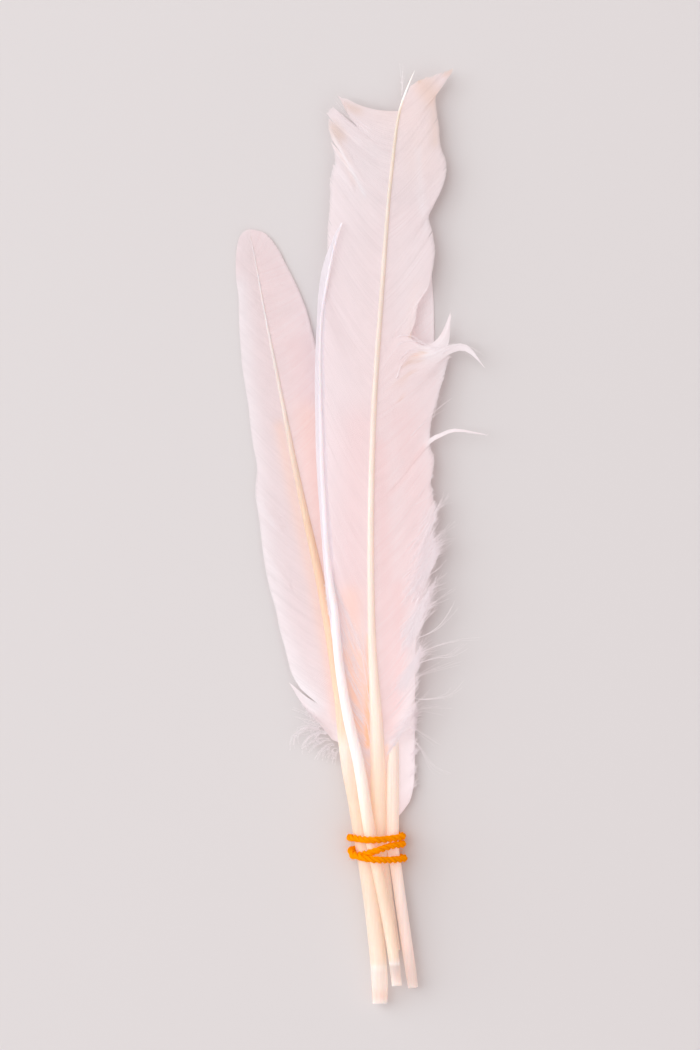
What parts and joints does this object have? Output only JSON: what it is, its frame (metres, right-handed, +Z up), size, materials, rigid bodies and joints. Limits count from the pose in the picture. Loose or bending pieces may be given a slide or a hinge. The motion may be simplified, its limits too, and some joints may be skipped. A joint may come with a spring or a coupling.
{
  "type": "bunch of goose quill feathers",
  "caption": "Dyed goose quill feathers lying flat in a bunch, bound round the bare quills with a twisted cord.",
  "frame": {"origin": "middle of the bunch in plan, on the surface it lies on", "axes": "+Y along the bunch toward the feather tips, +Z up from the surface, +X to the right seen from above"},
  "size_m": [0.0501, 0.1881, 0.0084],
  "materials": {
    "feather_front": "pale pink barbs, soft and matt, on a warm ivory satin quill",
    "feather_edge_on": "near-white barbs with a faint cool sheen, on a warm ivory satin quill",
    "feather_left": "pale pink barbs, soft and matt, on a peach-tinted quill",
    "feather_back": "pale pink barbs, soft and matt, on a warm ivory satin quill",
    "tie_cord": "orange twisted cord, matt and slightly fuzzy"
  },
  "bodies": {
    "root": {"feather_front": "feather_front", "feather_edge_on": "feather_edge_on", "feather_left": "feather_left", "feather_back": "feather_back", "tie_cord": "tie_cord"}
  },
  "joints": []
}
